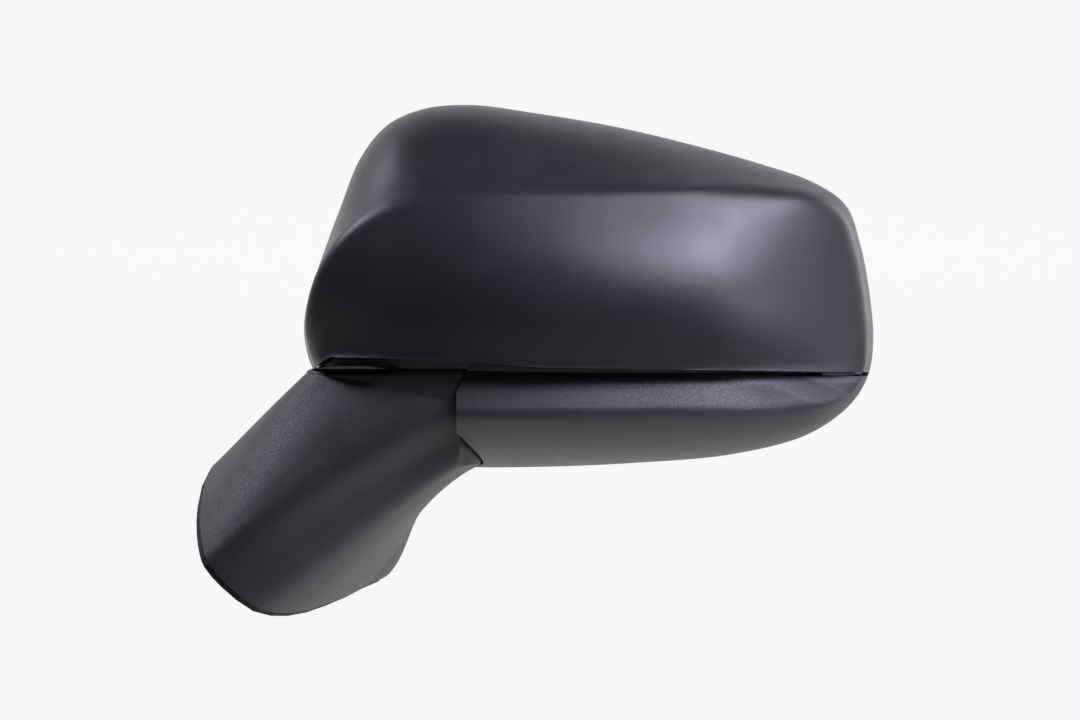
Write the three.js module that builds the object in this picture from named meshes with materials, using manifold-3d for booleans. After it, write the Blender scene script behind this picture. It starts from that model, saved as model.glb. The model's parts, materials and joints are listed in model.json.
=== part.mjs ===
// Left door mirror of a car: a foot that bolts to the door, and a head that folds on it.
// Millimetres. +X points outboard, +Y rearward (the way the glass faces), +Z up.
// The origin is the middle of the face that meets the door.
import * as THREE from 'three';
import { mergeVertices } from 'three/addons/utils/BufferGeometryUtils.js';
import Module from 'manifold-3d';

const wasm = await Module();
wasm.setup();

// ---- Driving dimensions ----------------------------------------------------------------

const GAP = 0.35;                 // between neighbouring pieces
const WALL = 3;                   // moulded shells
const FAR = 400;                  // half size of a cutting block

// Door face: a plane through the origin, turned in plan and leaning outwards at the top.
const DOOR_YAW = 32;              // degrees
const DOOR_LEAN = 37;             // degrees
const PLATE = 6;                  // door plate of the bracket
const SEAL = 2.8;                 // rubber seal

// Fold pivot, a vertical axis.
const PIVOT = { x: 47, y: -38 };
const KNUCKLE_R = 47.4;           // round knuckle on top of the foot
const SWEEP_R = 48.2;             // round cut in the head that turns about the knuckle
const KNUCKLE_TOP = 69.6;
const CONE = { from: 24, to: 52, low: 35.7 };   // heights where the round cut narrows to a radius
const SEAT_TOP = 64;              // top of the bracket, under the pivot's flange
const SHAFT_R = 8;
const SHAFT_BORE = 5;
const SHAFT_TOP = 124;
const TAIL_X = 66;                // rear parts below the seam start here, clear of the stalk

// Seam between the cap and the parts below it, falling slightly outboard.
const SEAM = { z: 71.2, slope: -0.015, half: 0.9 };

// Depths through the head.
const RIM_Y = 14;                 // rear rim
const WIDEST_Y = -6;              // where the outline is largest
const SPLIT_Y = -8;               // between cap or lower cover and the rear housing
const APEX = { x: 122, y: -90, z: 98 };
const RIM_TAPER = 3;
const LIP = { root: 2.8, from: 3.4, to: 5, reach: 3.6 };   // rebates behind the seams

// Glass pack and its gimbal.
const GLASS = { x: 132, z: 106, y: 6, thick: 2.4, heater: 0.8, holder: 2.5, gap: 3.6, lip: 1.8 };
const GIMBAL_Y = -9;
const ARM = 27;                   // from the gimbal centre to each plunger
const ACTUATOR = { radius: 42.5, wall: 2.5, back: -50, lid: -22, lidThick: 2.5 };
const WORM_OFFSET = 14;           // from a gear's axis to its worm's axis
const DRIVE_Y = -35;              // middle of gears, worms and motors
const FORK = [-19, 15];            // near edges of the two lugs that hold a gimbal pin
const FORK_WIDE = 4;
const PLATFORM_Y = { front: -57, back: -52.3 };
const RING_Y = { front: -31, back: -27 };

// ---- Materials --------------------------------------------------------------------------

const finish = (color, roughness, metalness) =>
  new THREE.MeshStandardMaterial({ color, roughness, metalness });

const paint = finish(0x2c2b30, 0.32, 0.0);
const texturedPlastic = finish(0x252529, 0.68, 0.0);
const framePlastic = finish(0x303236, 0.6, 0.0);
const castMetal = finish(0x8d8f92, 0.5, 0.9);
const steel = finish(0xb0b2b5, 0.32, 1.0);
const rubber = finish(0x17181a, 0.85, 0.0);
const silvered = finish(0xc9d2da, 0.03, 1.0);
const acetal = finish(0xe6e3da, 0.45, 0.0);
const heaterFoil = finish(0x6b5a33, 0.5, 0.2);

// ---- Solids -----------------------------------------------------------------------------

// A closed geometry becomes a solid, with its faces turned outwards.
function solid(geometry) {
  const bare = geometry.clone();
  bare.deleteAttribute('normal');
  bare.deleteAttribute('uv');
  const merged = mergeVertices(bare, 1e-4);
  const at = new Float32Array(merged.attributes.position.array);
  const corners = [];
  let volume = 0;
  for (let i = 0; i < merged.index.count; i += 3) {
    const [a, b, c] = [0, 1, 2].map((k) => merged.index.getX(i + k));
    if (a === b || b === c || c === a) continue;
    corners.push(a, b, c);
    const [p, q, r] = [a, b, c].map((k) => new THREE.Vector3().fromArray(at, 3 * k));
    volume += p.dot(q.cross(r));
  }
  if (volume < 0) {
    for (let i = 0; i < corners.length; i += 3) {
      [corners[i], corners[i + 1]] = [corners[i + 1], corners[i]];
    }
  }
  const triVerts = new Uint32Array(corners);
  return new wasm.Manifold(new wasm.Mesh({ numProp: 3, vertProperties: at, triVerts }));
}

function toGeometry(body) {
  const mesh = body.getMesh();
  const geometry = new THREE.BufferGeometry();
  geometry.setAttribute('position', new THREE.BufferAttribute(mesh.vertProperties, 3));
  geometry.setIndex(new THREE.BufferAttribute(mesh.triVerts, 1));
  geometry.computeVertexNormals();
  return geometry;
}

const join = (...bodies) => bodies.reduce((whole, body) => whole.add(body));
const cut = (body, ...tools) => tools.reduce((rest, tool) => rest.subtract(tool), body);
const common = (...bodies) => bodies.reduce((whole, body) => whole.intersect(body));

function box(x0, x1, y0, y1, z0, z1) {
  const geometry = new THREE.BoxGeometry(x1 - x0, y1 - y0, z1 - z0);
  geometry.translate((x0 + x1) / 2, (y0 + y1) / 2, (z0 + z1) / 2);
  return solid(geometry);
}

// A turned piece from its closed profile of [radius, height], about a line through (a, b).
function turned(axis, a, b, profile, segments = 20) {
  const points = profile.map(([r, h]) => new THREE.Vector2(r, h));
  const geometry = new THREE.LatheGeometry([...points, points[0]], segments);
  if (axis === 'y') geometry.translate(a, 0, b);
  if (axis === 'z') geometry.rotateX(Math.PI / 2).translate(a, b, 0);
  if (axis === 'x') geometry.rotateZ(-Math.PI / 2).translate(0, a, b);
  return solid(geometry);
}

const tube = (axis, a, b, inner, outer, from, to, segments) =>
  turned(axis, a, b, [[inner, from], [outer, from], [outer, to], [inner, to]], segments);

function rod(axis, a, b, radius, from, to, segments = 20) {
  const geometry = new THREE.CylinderGeometry(radius, radius, to - from, segments);
  geometry.translate(0, (from + to) / 2, 0);
  if (axis === 'y') geometry.translate(a, 0, b);
  if (axis === 'z') geometry.rotateX(Math.PI / 2).translate(a, b, 0);
  if (axis === 'x') geometry.rotateZ(-Math.PI / 2).translate(0, a, b);
  return solid(geometry);
}

// A plate whose outline lies in X and Z, between two depths.
function plate(outline, y0, y1) {
  const shape = new THREE.Shape(outline.map(([x, z]) => new THREE.Vector2(x, z)));
  const geometry = new THREE.ExtrudeGeometry(shape, { depth: y1 - y0, bevelEnabled: false });
  geometry.rotateX(Math.PI / 2).translate(0, y1, 0);
  return solid(geometry);
}

function cable(route, radius, steps, sides = 8) {
  const points = route.map((p) => new THREE.Vector3(...p));
  const shape = new THREE.Shape();
  for (let i = 0; i < sides; i++) {
    const a = (2 * Math.PI * i) / sides;
    const [x, y] = [radius * Math.cos(a), radius * Math.sin(a)];
    if (i) shape.lineTo(x, y);
    else shape.moveTo(x, y);
  }
  const extrudePath = new THREE.CatmullRomCurve3(points);
  return solid(new THREE.ExtrudeGeometry(shape, { steps, extrudePath, curveSegments: 1 }));
}

// A solid through rings of points, closed by a fan at each end.
function loft(rings) {
  const count = rings[0].length;
  const points = rings.flat().map((p) => p.toArray());
  const middle = (ring) => ring.reduce((s, p) => s.add(p), new THREE.Vector3()).divideScalar(count);
  const first = points.length;
  points.push(middle(rings[0]).toArray(), middle(rings.at(-1)).toArray());
  const faces = [];
  rings.slice(1).forEach((_, r) => {
    for (let i = 0; i < count; i++) {
      const [a, b] = [r * count + i, r * count + ((i + 1) % count)];
      faces.push(a, b, b + count, a, b + count, a + count);
    }
  });
  const last = (rings.length - 1) * count;
  for (let i = 0; i < count; i++) {
    const j = (i + 1) % count;
    faces.push(j, i, first, last + i, last + j, first + 1);
  }
  const geometry = new THREE.BufferGeometry();
  geometry.setAttribute('position', new THREE.Float32BufferAttribute(points.flat(), 3));
  geometry.setIndex(faces);
  return solid(geometry);
}

const closedCurve = (points) => new THREE.CatmullRomCurve3(points, true, 'centripetal');

function alongCurve(points, perPoint) {
  const curve = closedCurve(points);
  const count = points.length * perPoint;
  return Array.from({ length: count }, (_, i) => curve.getPoint(i / count));
}

// Moves a clockwise loop of points inwards, in the plane of X and Z.
function insetLoop(points, distance) {
  const count = points.length;
  return points.map((p, i) => {
    const [before, after] = [points[(i + count - 1) % count], points[(i + 1) % count]];
    const way = new THREE.Vector2(after.x - before.x, after.z - before.z).normalize();
    return new THREE.Vector3(p.x + distance * way.y, p.y, p.z - distance * way.x);
  });
}

const bezier = (t, a, b, c, d) =>
  a * (1 - t) ** 3 + 3 * b * t * (1 - t) ** 2 + 3 * c * t * t * (1 - t) + d * t ** 3;

// ---- Outer form of the head --------------------------------------------------------------

// Each row: a point of the outline (x, z), and the point of the front edge it leads to (x, z, y).
// The front edge is the crease along the top and the fold line along the bottom.
const HEAD_ROWS = [
  [12.4, 74, 14.6, 76, -46], [10.5, 88, 12.5, 90, -48], [15, 107, 17.5, 110, -53],
  [25, 136, 29, 125.5, -59], [34, 158.5, 44, 135, -63], [45, 172, 60, 139.6, -66],
  [60, 178.8, 80, 141, -68.5], [80, 180.6, 100, 141.7, -69.5], [108, 177, 126, 142.2, -69],
  [140, 171.6, 152, 142.9, -66.5], [172, 164.1, 178, 143.6, -61], [202, 155.7, 204, 143, -52.5],
  [224, 148, 223, 140, -43], [237.5, 138.5, 234.5, 131.5, -34], [243.8, 121.5, 240, 117, -28],
  [248, 98, 243.5, 96, -26], [249.1, 82, 244.5, 80, -26], [247.2, 68, 243, 67, -27.5],
  [240, 55.5, 235, 58.5, -33], [222, 42.5, 214, 53.3, -45], [190, 34, 184, 52.3, -62],
  [150, 30.4, 148, 51.8, -73], [110, 28.7, 112, 51.4, -78], [75, 28.8, 78, 51.4, -76],
  [45, 32, 48, 53, -68], [24, 42, 27, 57, -58], [19, 60, 20, 67, -53],
];

const ROW_STEPS = 1;              // stations between two rows
const SIDE_STEPS = 4;             // rings from the outline to the front edge
const FACE_STEPS = 3;             // rings from the front edge to the foremost point

// How far the skin below the seam is drawn out towards the front edge, from 0 to 1.
const fullness = (z) => THREE.MathUtils.clamp((66 - z) / 12, 0, 1);

// The head's skin moved inwards by a distance. An open one runs out behind the rim.
function headSkin(inset, open) {
  const outline = HEAD_ROWS.map(([x, z]) => new THREE.Vector3(x, WIDEST_Y, z));
  const edge = HEAD_ROWS.map(([, , x, z, y]) => new THREE.Vector3(x, y + 0.9 * inset, z));
  const at = (loop, distance) => alongCurve(insetLoop(loop, distance), ROW_STEPS);
  const side = at(outline, inset);
  const front = at(edge, inset);
  const full = at(edge, 0).map((p) => fullness(p.z));
  const rim = (distance, y) => at(outline, inset + distance).map((p) => p.clone().setY(y));
  const rings = [rim(RIM_TAPER, RIM_Y), rim(RIM_TAPER / 2, RIM_Y - 3), rim(0.3, 4), side];
  if (open) rings.unshift(rim(RIM_TAPER, RIM_Y + 6));
  for (let k = 1; k <= SIDE_STEPS; k++) {
    const t = k / SIDE_STEPS;
    rings.push(side.map((p, i) => {
      const inwards = bezier(t, 0, 0, 0.4 - 0.25 * full[i], 1);
      const forwards = bezier(t, 0, 0.4, 0.6 + 0.2 * full[i], 1);
      return new THREE.Vector3(
        p.x + (front[i].x - p.x) * inwards,
        p.y + (front[i].y - p.y) * forwards,
        p.z + (front[i].z - p.z) * inwards);
    }));
  }
  const tip = new THREE.Vector3(APEX.x, APEX.y + inset, APEX.z);
  for (let k = 1; k < FACE_STEPS; k++) {
    const t = k / FACE_STEPS;
    const inwards = bezier(t, 0, 0.3, 0.6, 1);
    const forwards = bezier(t, 0, 0.4, 1, 1);
    rings.push(front.map((p) => new THREE.Vector3(
      p.x + (tip.x - p.x) * inwards,
      p.y + (tip.y - p.y) * forwards,
      p.z + (tip.z - p.z) * inwards)));
  }
  rings.push(front.map((p) => tip.clone().addScaledVector(p.clone().sub(tip), 0.02).setY(tip.y)));
  return loft(rings);
}

const skin = headSkin(0, false);
const shell = cut(skin, headSkin(WALL, true));
const insideHead = headSkin(LIP.to + 0.6, false);
const lipHollow = headSkin(LIP.to, true);

const seamAt = (x) => SEAM.z + SEAM.slope * x;

// Everything below the seam plane, moved by an offset.
function belowSeam(offset) {
  const side = [[-FAR, -FAR], [FAR, -FAR], [FAR, seamAt(FAR) + offset], [-FAR, seamAt(-FAR) + offset]];
  return plate(side, -FAR, FAR);
}

// ---- Rear opening, round the glass --------------------------------------------------------

const OPENING = [
  [21.5, 92], [27, 112], [36, 137], [46, 158], [58, 167], [76, 170.5], [106, 167.5],
  [140, 161.5], [172, 154], [204, 145], [224, 137], [232.5, 124], [237, 100], [238, 82],
  [234, 66], [222, 53], [198, 44.5], [166, 40.5], [140, 42.5], [120, 50.5], [103, 63], [86, 73],
  [62, 78.5], [40, 80], [26, 83],
].map(([x, z]) => new THREE.Vector3(x, 0, z));

const OPENING_STEPS = 1;

function opening(inset) {
  return insetLoop(alongCurve(OPENING, OPENING_STEPS), inset).map((p) => [p.x, p.z]);
}

// ---- Outer form of the foot ----------------------------------------------------------------

const radians = THREE.MathUtils.degToRad;
const doorAlong = new THREE.Vector3(Math.sin(radians(DOOR_YAW)), Math.cos(radians(DOOR_YAW)), 0);
const doorOut = new THREE.Vector3(
  -Math.cos(radians(DOOR_YAW)) * Math.cos(radians(DOOR_LEAN)),
  Math.sin(radians(DOOR_YAW)) * Math.cos(radians(DOOR_LEAN)),
  -Math.sin(radians(DOOR_LEAN)));
const doorUp = new THREE.Vector3().crossVectors(doorAlong, doorOut);

// A point of the door face, s along it and t up it, and a height above it towards the door.
const onDoor = (s, t, height = 0) => new THREE.Vector3()
  .addScaledVector(doorAlong, s).addScaledVector(doorUp, t).addScaledVector(doorOut, height);

const toDoor = new THREE.Matrix4().makeBasis(doorAlong, doorUp, doorOut);

// Each row runs from a point (s, t) of the door face to a point (x, y, z) of the knuckle's base,
// arriving along the given way, and from there up to the knuckle's top.
const FOOT_ROWS = [
  { door: [0, 39], base: [13.2, -15, 68], way: [-12, 7, -10] },
  { door: [-22, 35], base: [12.6, -31, 68], way: [-13, 5, -10.5] },
  { door: [-47, 16], base: [14, -46, 68], way: [-13, 3, -12] },
  { door: [-58.5, 3], base: [27, -57, 66], way: [-14, 0, -12] },
  { door: [-65, -7], base: [50, -68.6, 61], way: [-22, 0, -13] },
  { door: [-67.5, -14], base: [75.3, -74.4, 54], way: [-27, 0, -10] },
  { door: [-64, -24.5], base: [76.4, -68, 42], way: [-24, 8, -11] },
  { door: [-52, -37.5], base: [76.6, -61, 31], way: [-20, 8, -9] },
  { door: [-30, -41], base: [82, -51, 30.5], way: [-20, 6, -8] },
  { door: [0, -37.5], base: [84.5, -38, 30], way: [-20, 8, -8] },
  { door: [35, -30], base: [80.4, -21.4, 29.5], way: [-18, 10, -8] },
  { door: [62, -22], base: [67.6, -7, 29], way: [-12, 14, -9] },
  { door: [74, 0], base: [51, -0.6, 28.5], way: [-2, 18, -9] },
  { door: [60, 22], base: [36.4, -2, 28], way: [-4, 15, -6] },
  { door: [42, 32], base: [27, -6, 28], way: [-5, 10, -4] },
  { door: [20, 38], base: [15, -4.5, 62], way: [-9, 9, -12] },
];
const FOOT_LEAVE = 17;            // how far a row leaves the door face squarely
const FOOT_STEPS = 5;
const FOOT_ROW_STEPS = 2;

// Moves the points of a loft's rings inwards, square to its skin.
function insetRings(rings, inset) {
  const count = rings[0].length;
  return rings.map((ring, r) => ring.map((p, i) => {
    const across = rings[Math.min(r + 1, rings.length - 1)][i].clone()
      .sub(rings[Math.max(r - 1, 0)][i]);
    const round = ring[(i + 1) % count].clone().sub(ring[(i + count - 1) % count]);
    const inwards = across.cross(round).normalize();
    return p.clone().addScaledVector(inwards, inset);
  }));
}

// The foot's skin moved inwards, from the door face to a given top.
function footSkin(inset, top) {
  const ringAt = (t) => FOOT_ROWS.map(({ door, base, way }) => {
    const start = onDoor(...door);
    const leave = start.clone().addScaledVector(doorOut, -FOOT_LEAVE);
    const end = new THREE.Vector3(...base);
    const arrive = end.clone().add(new THREE.Vector3(...way));
    return new THREE.Vector3(...['x', 'y', 'z'].map((k) =>
      bezier(t, start[k], leave[k], arrive[k], end[k])));
  });
  const rings = Array.from({ length: FOOT_STEPS + 1 }, (_, k) => ringAt(k / FOOT_STEPS));
  if (inset) rings.unshift(rings[0].map((p) => p.clone().addScaledVector(doorOut, 5)));
  rings.push(rings.at(-1).map((p) => {
    const out = new THREE.Vector3(p.x - PIVOT.x, p.y - PIVOT.y, 0);
    if (p.z < CONE.to) out.setLength(KNUCKLE_R - 0.4);
    return out.add(new THREE.Vector3(PIVOT.x, PIVOT.y, KNUCKLE_TOP));
  }));
  const smooth = insetRings(rings.map((ring) => alongCurve(ring, FOOT_ROW_STEPS)), inset);
  smooth.at(-1).forEach((p) => p.setZ(KNUCKLE_TOP));
  return common(loft(smooth), box(-FAR, FAR, -FAR, FAR, -FAR, top));
}

// The half space behind the door face, from a given depth inwards.
function behindDoor(depth) {
  const block = new THREE.BoxGeometry(2 * FAR, 2 * FAR, FAR);
  block.translate(0, 0, -FAR / 2 - depth).applyMatrix4(toDoor);
  return solid(block);
}

// A round piece square to the door face, between two heights towards the door.
function doorRod(s, t, radius, from, to, segments = 20) {
  const geometry = new THREE.CylinderGeometry(radius, radius, to - from, segments);
  geometry.rotateX(Math.PI / 2).translate(s, t, (from + to) / 2).applyMatrix4(toDoor);
  return solid(geometry);
}

// ---- Assembly --------------------------------------------------------------------------------

const mirror = new THREE.Group();
const foot = new THREE.Group();
const head = new THREE.Group();
mirror.add(foot, head);

function add(group, name, body, material) {
  const mesh = new THREE.Mesh(toGeometry(body), material);
  mesh.name = name;
  group.add(mesh);
}

// ---- Foot --------------------------------------------------------------------------------------

const INSERTS = [[-46, -8], [42, -2], [-8, 18]];
const INSERT = { bore: 2.5, radius: 4.6, boss: 7.2, depth: 13 };
const GROMMET = { s: 11, t: -7, radius: 7.6 };
const PIN = { s: 32, t: -18, radius: 3.5, out: 8 };
const COVER_HOLE = 22;
const ARM_WALL = { outer: 27, inner: 22.5 };   // hollow arm of the bracket
const PIVOT_SCREWS = { count: 3, radius: 15, shank: 1.8, head: 3.4 };

function makeFoot() {
  const cover = cut(
    common(footSkin(0, KNUCKLE_TOP), behindDoor(SEAL)),
    footSkin(WALL, KNUCKLE_TOP - WALL),
    rod('z', PIVOT.x, PIVOT.y, COVER_HOLE, 50, 90, 28));
  add(foot, 'foot_cover', cover, texturedPlastic);

  const outer = common(footSkin(WALL + 1.5, SEAT_TOP), behindDoor(0));
  const spine = [onDoor(0, -2, 20), onDoor(0, -2, -18), new THREE.Vector3(38, -31, 30),
    new THREE.Vector3(PIVOT.x, PIVOT.y, SEAT_TOP)].map((p) => p.toArray());
  const arm = cable(spine, ARM_WALL.outer, 8, 20);
  const hollow = common(cable(spine, ARM_WALL.inner, 8, 20), behindDoor(PLATE),
    box(-FAR, FAR, -FAR, FAR, -FAR, SEAT_TOP - 8));
  const plateLayer = cut(outer, behindDoor(PLATE));
  const pin = doorRod(PIN.s, PIN.t, PIN.radius, -PLATE / 2, PIN.out);
  const seat = rod('z', PIVOT.x, PIVOT.y, 24, SEAT_TOP - 9, 90);
  let bracket = join(common(join(arm, seat), outer), plateLayer, pin);
  bracket = cut(bracket, hollow, rod('z', PIVOT.x, PIVOT.y, 6.5, 40, 90));
  bracket = cut(bracket, doorRod(GROMMET.s, GROMMET.t, GROMMET.radius, -PLATE - 6, 1));
  for (const [s, t] of INSERTS) {
    bracket = cut(join(bracket, doorRod(s, t, INSERT.boss, -INSERT.depth, -1, 16)),
      doorRod(s, t, INSERT.radius + GAP, -INSERT.depth - 5, 1, 16));
  }
  const screwAt = (i) => {
    const a = (2 * Math.PI * i) / PIVOT_SCREWS.count + 0.5;
    return [PIVOT.x + PIVOT_SCREWS.radius * Math.cos(a), PIVOT.y + PIVOT_SCREWS.radius * Math.sin(a)];
  };
  for (let i = 0; i < PIVOT_SCREWS.count; i++) {
    bracket = cut(bracket, rod('z', ...screwAt(i), PIVOT_SCREWS.shank + GAP, 50, 90, 12));
  }
  add(foot, 'foot_bracket', bracket, castMetal);

  const sealOuter = common(footSkin(0.4, SEAT_TOP), behindDoor(0));
  const seal = cut(sealOuter, behindDoor(SEAL - GAP), footSkin(WALL + 0.5, SEAT_TOP));
  add(foot, 'base_gasket', seal, rubber);

  INSERTS.forEach(([s, t], i) => {
    const insert = cut(doorRod(s, t, INSERT.radius, -INSERT.depth, -0.5, 16),
      doorRod(s, t, INSERT.bore, -FAR, FAR, 12));
    add(foot, `threaded_insert_${i + 1}`, insert, steel);
  });

  const sleeve = doorRod(GROMMET.s, GROMMET.t, GROMMET.radius - GAP, -PLATE - 3, 0);
  const lip = doorRod(GROMMET.s, GROMMET.t, GROMMET.radius + 1.5, -PLATE - 3, -PLATE - GAP);
  const lead = doorRod(GROMMET.s, GROMMET.t, 3.9, -PLATE - 9, 1);
  add(foot, 'harness_grommet', cut(join(sleeve, lip), lead), rubber);

  const entry = onDoor(GROMMET.s, GROMMET.t, -0.5);
  const bend = onDoor(GROMMET.s, GROMMET.t, -PLATE - 12);
  const route = [entry.toArray(), bend.toArray(), [38, -14, 8], [46, -32, 24],
    [PIVOT.x, PIVOT.y, 42], [PIVOT.x, PIVOT.y, 60], [PIVOT.x, PIVOT.y, 90], [PIVOT.x, PIVOT.y, 128]];
  add(foot, 'foot_harness', cable(route, 3, 26), rubber);

  const bore = SHAFT_BORE;
  let shaft = turned('z', PIVOT.x, PIVOT.y, [
    [bore, SEAT_TOP + GAP], [20, SEAT_TOP + GAP], [20, 66.2], [SHAFT_R, 66.2],
    [SHAFT_R, 117.4], [SHAFT_R - 1, 117.4], [SHAFT_R - 1, 119.4], [SHAFT_R, 119.4],
    [SHAFT_R, SHAFT_TOP - 1], [SHAFT_R - 1, SHAFT_TOP], [bore, SHAFT_TOP]]);
  let plateRing = tube('z', PIVOT.x, PIVOT.y, SHAFT_R + 1.5, COVER_HOLE - 0.6, 66.6, 69.8, 24);
  const notch = { width: 7, depth: 1.4 };
  for (let i = 0; i < 4; i++) {
    const slot = new THREE.BoxGeometry(60, notch.width, 2 * notch.depth);
    slot.rotateZ((i * Math.PI) / 4).translate(PIVOT.x, PIVOT.y, 69.8);
    plateRing = cut(plateRing, solid(slot));
  }
  for (let i = 0; i < PIVOT_SCREWS.count; i++) {
    const [x, y] = screwAt(i);
    shaft = cut(shaft, rod('z', x, y, PIVOT_SCREWS.shank + GAP, 60, 90, 12));
    plateRing = cut(plateRing, rod('z', x, y, PIVOT_SCREWS.shank + GAP, 60, 90, 12),
      rod('z', x, y, PIVOT_SCREWS.head + GAP, 67.7, 90, 14));
    const screw = join(rod('z', x, y, PIVOT_SCREWS.shank, 58, 68.5, 12),
      rod('z', x, y, PIVOT_SCREWS.head, 68, 69.7, 14));
    add(foot, `pivot_screw_${i + 1}`, screw, steel);
  }
  add(foot, 'pivot_shaft', shaft, steel);
  add(foot, 'detent_plate', plateRing, steel);

  const coil = { radius: 13, wire: 1.3, turns: 4, from: 80, to: 112.6 };
  const turns = Array.from({ length: 12 * coil.turns + 1 }, (_, i) => {
    const a = (2 * Math.PI * i) / 12;
    const rise = (coil.to - coil.from) * (i / (12 * coil.turns));
    return [PIVOT.x + coil.radius * Math.cos(a), PIVOT.y + coil.radius * Math.sin(a), coil.from + rise];
  });
  add(foot, 'pivot_spring', cable(turns, coil.wire, 48, 6), steel);
  const washer = tube('z', PIVOT.x, PIVOT.y, SHAFT_R + GAP, 16.2, 114.4, 116.4);
  add(foot, 'spring_washer', washer, steel);
  const ring = cut(tube('z', PIVOT.x, PIVOT.y, SHAFT_R - 1 + GAP, 11, 117.7, 119.1),
    box(PIVOT.x, PIVOT.x + 14, PIVOT.y - 2, PIVOT.y + 2, 110, 125));
  add(foot, 'lock_ring', ring, steel);
}

// ---- Shells of the head ----------------------------------------------------------------------

// Snap tabs of the rear housing, which pass through notches in the frame: x and z windows.
const TABS = [[96, 112, 140, 200], [184, 198, 130, 200], [118, 134, 10, 60], [0, 60, 118, 134]];
const TAB = { from: WALL + 0.6, to: WALL + 2.2, tip: RING_Y.front - 3, play: 0.8 };

function tabBody(x0, x1, z0, z1, play) {
  const layer = cut(headSkin(play ? 0 : TAB.from, false), headSkin(TAB.to + play, true));
  return common(layer, box(x0 - play, x1 + play, TAB.tip - play, SPLIT_Y + 2, z0 - play, z1 + play));
}

// A block that ties a tab to the housing's outer wall.
function tabRoot([x0, x1, z0, z1]) {
  const layer = cut(skin, headSkin(TAB.to, true));
  return common(layer, box(x0, x1, SPLIT_Y + GAP, SPLIT_Y + 4, z0, z1));
}

// The round space the knuckle turns in, narrower at the bottom.
const sweepBody = (extra) => turned('z', PIVOT.x, PIVOT.y, [
  [0, -FAR], [CONE.low + extra, -FAR], [CONE.low + extra, CONE.from],
  [SWEEP_R + extra, CONE.to], [SWEEP_R + extra, FAR], [0, FAR]], 48);

function makeShells() {
  const sweep = sweepBody(0);
  const front = box(-FAR, FAR, -FAR, SPLIT_Y - GAP, -FAR, FAR);
  add(head, 'cap', cut(common(shell, front), belowSeam(SEAM.half)), paint);

  const seat = common(skin, cut(sweepBody(2.4), sweep));
  const tail = box(-FAR, TAIL_X, PIVOT.y, FAR, -FAR, FAR);
  const lipRoot = common(cut(headSkin(LIP.root, false), lipHollow), belowSeam(-SEAM.half));
  const lipTop = cut(headSkin(LIP.from, false), lipHollow);
  const seamLip = common(join(lipRoot, lipTop), belowSeam(LIP.reach),
    box(100, FAR, -FAR, SPLIT_Y - LIP.reach - 2, seamAt(0) - LIP.reach - 8, FAR));
  const lower = cut(join(common(join(shell, seat), front, belowSeam(-SEAM.half)), seamLip), sweep, tail);
  add(head, 'lower_cover', lower, texturedPlastic);

  const back = box(-FAR, FAR, SPLIT_Y + GAP, FAR, -FAR, FAR);
  const hole = plate(opening(0), -60, 60);
  const bezel = cut(common(skin, box(-FAR, FAR, RIM_Y - 3.2, FAR, -FAR, FAR)), hole);
  const wall = cut(common(skin, plate(opening(-2), SPLIT_Y + GAP, RIM_Y)), hole);
  const sill = common(skin, back, box(0, 96, -FAR, FAR, 60, seamAt(0) + SEAM.half + 2.6));
  const splitLip = join(
    common(cut(headSkin(LIP.root, false), lipHollow), box(-FAR, FAR, SPLIT_Y + GAP, -3, -FAR, FAR)),
    common(lipTop, box(-FAR, FAR, SPLIT_Y - LIP.reach, -3, -FAR, FAR)));
  let housing = join(common(shell, back), bezel, wall, cut(sill, hole), splitLip);
  for (const tab of TABS) housing = join(housing, tabBody(...tab, 0), tabRoot(tab));
  const low = belowSeam(SEAM.half);
  const tailWall = common(skin, low, back, box(TAIL_X, TAIL_X + WALL, PIVOT.y, FAR, -FAR, FAR));
  housing = join(housing, common(seat, back, low), tailWall);
  const seatRoom = sweepBody(2.8);
  const missing = common(low, join(sweep, box(-FAR, TAIL_X, -FAR, FAR, -FAR, FAR),
    common(seatRoom, box(-FAR, FAR, -FAR, SPLIT_Y + GAP, -FAR, FAR))));
  add(head, 'rear_housing', cut(housing, missing), texturedPlastic);
}

// ---- Frame of the head ------------------------------------------------------------------------

const LEAD = { x: 88, y: -46, z: 141 };   // connector of the head's wiring
const EARS = [30, 150, 270].map((a) => [
  GLASS.x + 46.5 * Math.cos(radians(a)), GLASS.z + 46.5 * Math.sin(radians(a))]);

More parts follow.
